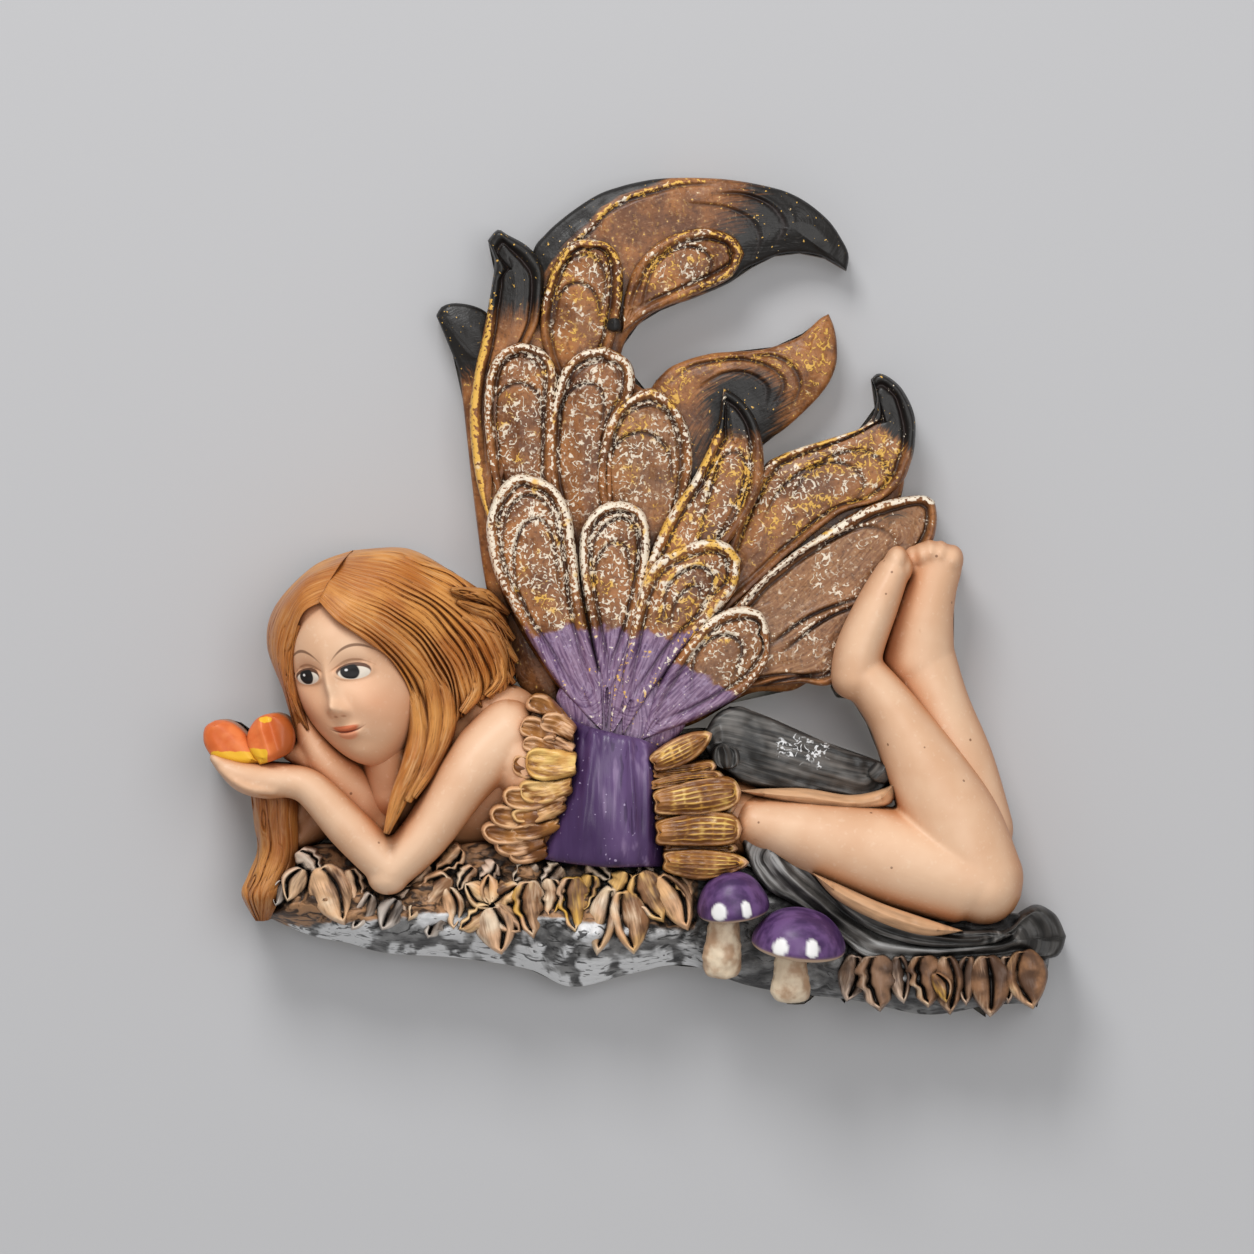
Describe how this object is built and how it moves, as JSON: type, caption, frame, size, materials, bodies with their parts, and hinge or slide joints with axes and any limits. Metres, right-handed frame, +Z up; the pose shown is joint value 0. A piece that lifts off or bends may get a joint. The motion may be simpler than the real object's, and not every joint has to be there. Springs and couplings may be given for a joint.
{
  "type": "fridge magnet",
  "caption": "Painted resin fridge magnet of a fairy resting on a leafy rock, cast in one piece with a flat back that holds disc magnets.",
  "frame": {"origin": "centre of the lower magnet's rear face, in the plane that touches the fridge door", "axes": "+Y points from the rear faces of the magnets into the fridge door, +Z is up, +X is to the right as seen from the front; the figure faces -Y"},
  "size_m": [0.0857, 0.0176, 0.0845],
  "materials": {
    "painted_resin": "hand-painted polyresin, satin",
    "ferrite": "bare sintered ferrite, matte"
  },
  "bodies": {
    "root": {"fairy_casting": "painted_resin", "magnet_lower": "ferrite", "magnet_upper": "ferrite"}
  },
  "joints": []
}
